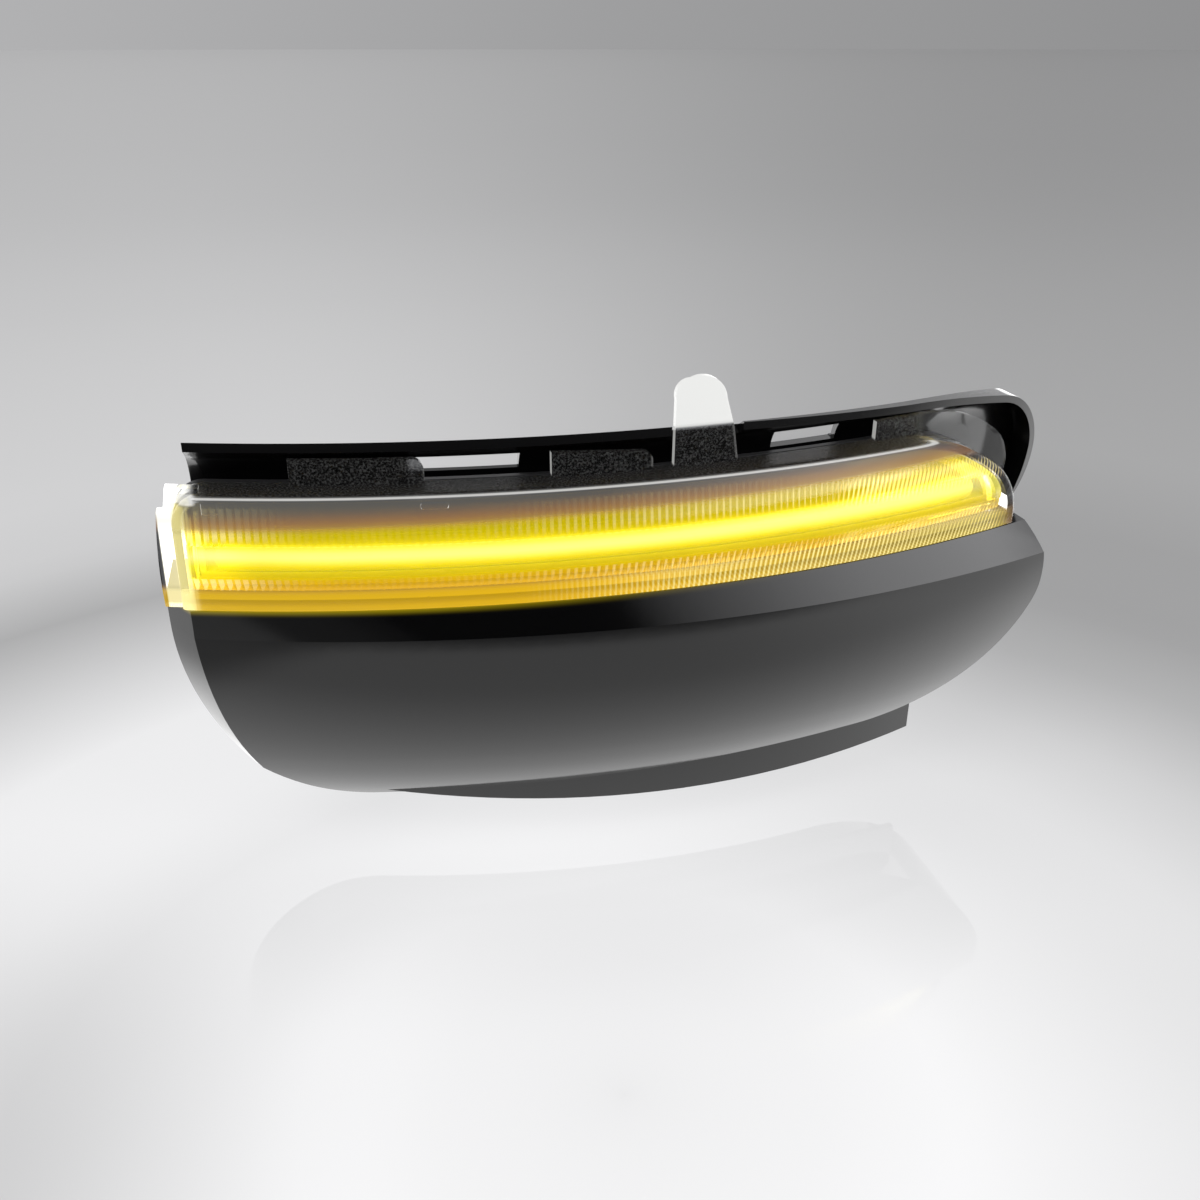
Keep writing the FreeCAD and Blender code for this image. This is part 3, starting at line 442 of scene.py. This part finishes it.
def led_package():
    """White package, yellow and glowing in its upper part."""
    t = Tree("led_package")
    face = t.span(t.z, -0.0036, -0.0026)
    t.surface(Base_Color=t.blend(face, (0.86, 0.84, 0.78), (0.92, 0.72, 0.2)), Roughness=0.4,
              Emission_Color=t.blend(t.noise(300.0), (1.0, 0.72, 0.08), (1.0, 0.62, 0.02)),
              Emission_Strength=t.times(face, 0.8), Normal=t.bump(t.noise(2500.0), 0.00002))
    return t.mat


def chip(name, body, fleck, rough):
    """Small part on the board, with a fleck in its body's colour."""
    t = Tree(name)
    speck = t.noise(3000.0, 2.0)
    t.surface(Base_Color=t.blend(t.span(speck, 0.4, 0.65), body, fleck), Roughness=rough,
              Normal=t.bump(speck, 0.00002))
    return t.mat


def metal(name, colour, rough, scratch):
    """Metal with fine level lines."""
    t = Tree(name)
    lines = t.noise(scratch, 3.0, (1.0, 1.0, 9.0))
    r, g, b = colour
    t.surface(Base_Color=t.blend(t.noise(400.0, 2.0), colour, (r * 0.82, g * 0.82, b * 0.8)),
              Metallic=1.0, Roughness=t.math("MULTIPLY_ADD", lines, 0.25, rough),
              Normal=t.bump(lines, 0.00002))
    return t.mat


def foam():
    """Dark closed-cell foam."""
    t = Tree("foam")
    pores = t.cells(1500.0)
    t.surface(Base_Color=t.blend(pores, (0.03, 0.03, 0.033), (0.09, 0.09, 0.095)),
              Roughness=0.95, Normal=t.bump(pores, 0.0003))
    return t.mat


seal = moulded("seal", (0.02, 0.02, 0.022), 0.75, 1800.0, 0.00006)
steel = metal("screw_steel", (0.62, 0.62, 0.63), 0.22, 900.0)
LOOKS = {
    "outer_lens": clear_lens(),
    "lens_seal": seal,
    "inner_optic": ribbed_optic(),
    "light_bar": light_guide(),
    "reflector_tray": reflector(),
    "led_board": solder_mask(),
    "leds": led_package(),
    "resistors": chip("resistor_body", (0.02, 0.02, 0.024), (0.05, 0.05, 0.055), 0.45),
    "capacitors": chip("capacitor_body", (0.32, 0.22, 0.12), (0.42, 0.31, 0.19), 0.5),
    "driver_chips": chip("chip_body", (0.014, 0.014, 0.016), (0.03, 0.03, 0.033), 0.6),
    "board_screws": steel,
    "lamp_housing": moulded("housing_black", (0.018, 0.018, 0.019), 0.5, 1400.0, 0.00012),
    "connector_socket": moulded("socket_plastic", (0.022, 0.022, 0.025), 0.42, 2200.0, 0.00004),
    "socket_seal": seal,
    "contact_pins": metal("contact_metal", (0.86, 0.74, 0.46), 0.18, 1500.0),
    "vent_plug": moulded("vent_plastic", (0.62, 0.63, 0.64), 0.5, 1600.0, 0.00006),
    "back_frame": frame_black(),
    "case_screws": steel,
    "lower_cover": gloss_shell(),
    "foam_strips": foam(),
}
for node, look in LOOKS.items():
    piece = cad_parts[node]
    piece.data.materials.clear()
    piece.data.materials.append(look)


def floor_seen(t, across, ahead):
    """What the camera sees of the floor, its light painted in: bright round the lamp, a soft grey
    ring, paler beyond, and a painted shade in the near left corner.
    """
    length = t.add("VectorMath")
    length.operation = "LENGTH"
    t.link(t.place, length.inputs[0])
    reach = length.outputs["Value"]
    far = t.math("POWER", t.math("MULTIPLY", reach, 1.0 / FLOOR_R, clamp=True), FLOOR_BEND)
    ways = [t.ramp(far, [((r / FLOOR_R) ** FLOOR_BEND, grey(v, 1.01)) for r, v in levels])
            for levels in (FLOOR_LEFT, FLOOR_RIGHT)]
    seen = t.blend(t.span(t.math("DIVIDE", across, reach), -0.42, 0.42), *ways)
    # Painted shade in the near left corner of the floor
    corner = t.times(t.span(across, -0.045, -0.135), t.span(ahead, 0.10, -0.03))
    return t.blend(t.times(corner, 0.55), seen, (0.34, 0.34, 0.345))


def floor_table(t):
    """Brightness of the floor in gloss: a table that ends in front, brighter back and right."""
    table = t.math("ADD", t.span(t.y, 0.0, 0.09), 1.30)
    table = t.math("MULTIPLY_ADD", t.span(t.x, 0.05, 0.26), 0.8, table)
    return t.times(table, t.span(t.y, -0.165, -0.075),
                   t.math("MULTIPLY_ADD", t.span(t.x, -0.19, -0.12), 0.6, 0.4))


def floor_look():
    """Pale polished studio floor, its light painted in as its own glow, lighter on the left than on
    the right.
    """
    t = Tree("floor")
    across = t.along(t.x, t.y, RIGHT)
    ahead = t.along(t.x, t.y, AHEAD)
    path = t.add("LightPath").outputs
    gloss = path["Is Glossy Ray"]

    own = t.add("Emission")
    t.link(t.blend(gloss, floor_seen(t, across, ahead), (1.0, 1.0, 1.0)), own.inputs[0])
    extra = t.math("SUBTRACT", floor_table(t), 1.0)
    t.link(t.math("MULTIPLY_ADD", gloss, extra, 1.0), own.inputs[1])
    plain = t.add("BsdfPrincipled")
    t.link((0.8, 0.8, 0.8), plain.inputs["Base Color"])
    plain.inputs["Roughness"].default_value = 0.6
    shown = t.math("ADD", path["Is Camera Ray"], gloss, clamp=True)
    shown = t.math("ADD", shown, path["Is Transmission Ray"], clamp=True)
    base = t.mix_shaders(t.times(shown, FLOOR_OWN), plain.outputs[0], own.outputs[0])

    polish = t.add("BsdfGlossy")
    t.link((1.0, 1.0, 1.0), polish.inputs["Color"])
    polish.inputs["Roughness"].default_value = 0.02
    wet = t.times(t.span(ahead, 0.008, 0.060), FLOOR_POLISH, path["Is Camera Ray"])
    t.link(t.mix_shaders(wet, base, polish.outputs[0]), t.out.inputs[0])
    return t.mat


def disc(name, radius, z, steps=96):
    """Round floor, with its own centre under the lamp."""
    turns = [2 * math.pi * k / steps for k in range(steps)]
    ring = [(radius * math.cos(turn), radius * math.sin(turn), 0.0) for turn in turns]
    mesh = bpy.data.meshes.new(name)
    mesh.from_pydata(ring, [], [tuple(range(steps))])
    ob = bpy.data.objects.new(name, mesh)
    ob.location = (*FLOOR_MID, z)
    bpy.context.collection.objects.link(ob)
    return ob


floor = disc("floor", FLOOR_R, FLOOR_Z)
floor.data.materials.append(floor_look())


def studio():
    """World light: a plain backdrop, and in gloss a pale room with a soft box on the right."""
    world = bpy.data.worlds.new("studio")
    bpy.context.scene.world = world
    world.use_nodes = True
    t = Nodes(world.node_tree, "OutputWorld")
    ray = t.add("SeparateXYZ")
    t.link(t.add("TexCoord").outputs["Generated"], ray.inputs[0])
    x, y, z = ray.outputs
    path = t.add("LightPath").outputs

    def shades(value, stops):
        return t.ramp(value, [(at, grey(level, 1.015)) for at, level in stops])

    backdrop = shades(t.math("MULTIPLY_ADD", t.along(x, y, RIGHT), 1.1, 0.5),
                      [(0.0, 0.45), (0.5, 0.345), (1.0, 0.28)])
    soft_box = shades(x, [(0.20, 0.004), (0.46, 0.42), (0.64, 0.80), (0.80, 0.95), (0.88, 0.15)])
    room = shades(z, [(0.0, 0.12), (0.3, 0.136), (0.6, 0.184), (0.95, 0.064)])
    behind = t.math("MULTIPLY_ADD", y, 5.0, 0.5)
    level = t.blend(path["Is Diffuse Ray"], backdrop, grey(SKY_FILL, 1.015))
    level = t.blend(path["Is Glossy Ray"], level, t.blend(behind, soft_box, room))
    sky = t.add("Background")
    t.link(level, sky.inputs[0])
    t.link(t.math("MULTIPLY_ADD", path["Is Glossy Ray"], SKY_GLOSS, 1.0), sky.inputs[1])
    t.link(sky.outputs[0], t.out.inputs[0])


studio()


def lamp(name, at, size, power):
    """Area light that faces the middle of the object and leaves no mirror image."""
    light = bpy.data.lights.new(name, "AREA")
    light.shape = "RECTANGLE"
    light.size, light.size_y = size
    light.energy = power
    ob = bpy.data.objects.new(name, light)
    ob.location = at
    way = [MIDDLE[k] - at[k] for k in range(3)]
    flat = math.hypot(way[0], way[1])
    ob.rotation_euler = (math.atan2(flat, -way[2]), 0.0, math.atan2(-way[0], way[1]))
    ob.visible_glossy = False
    bpy.context.collection.objects.link(ob)


lamp("key", (-0.45, -0.45, 0.75), (0.6, 0.4), 4.0)
lamp("fill", (0.60, -0.60, 0.50), (0.5, 0.4), 2.0)
lamp("rim", (0.05, 0.80, 0.70), (0.9, 0.3), 3.0)

camera_data = bpy.data.cameras.new("camera")
camera_data.lens = 35.34
camera_data.sensor_width = 36.0
camera_data.sensor_fit = "HORIZONTAL"
camera_data.clip_start = 0.01
camera = bpy.data.objects.new("camera", camera_data)
camera.location = (-0.009005, -0.295197, 0.108280)
camera.rotation_euler = (math.radians(64.65), 0.0, math.radians(-14.0))
bpy.context.collection.objects.link(camera)
bpy.context.scene.camera = camera

bpy.context.scene.view_settings.view_transform = "Standard"
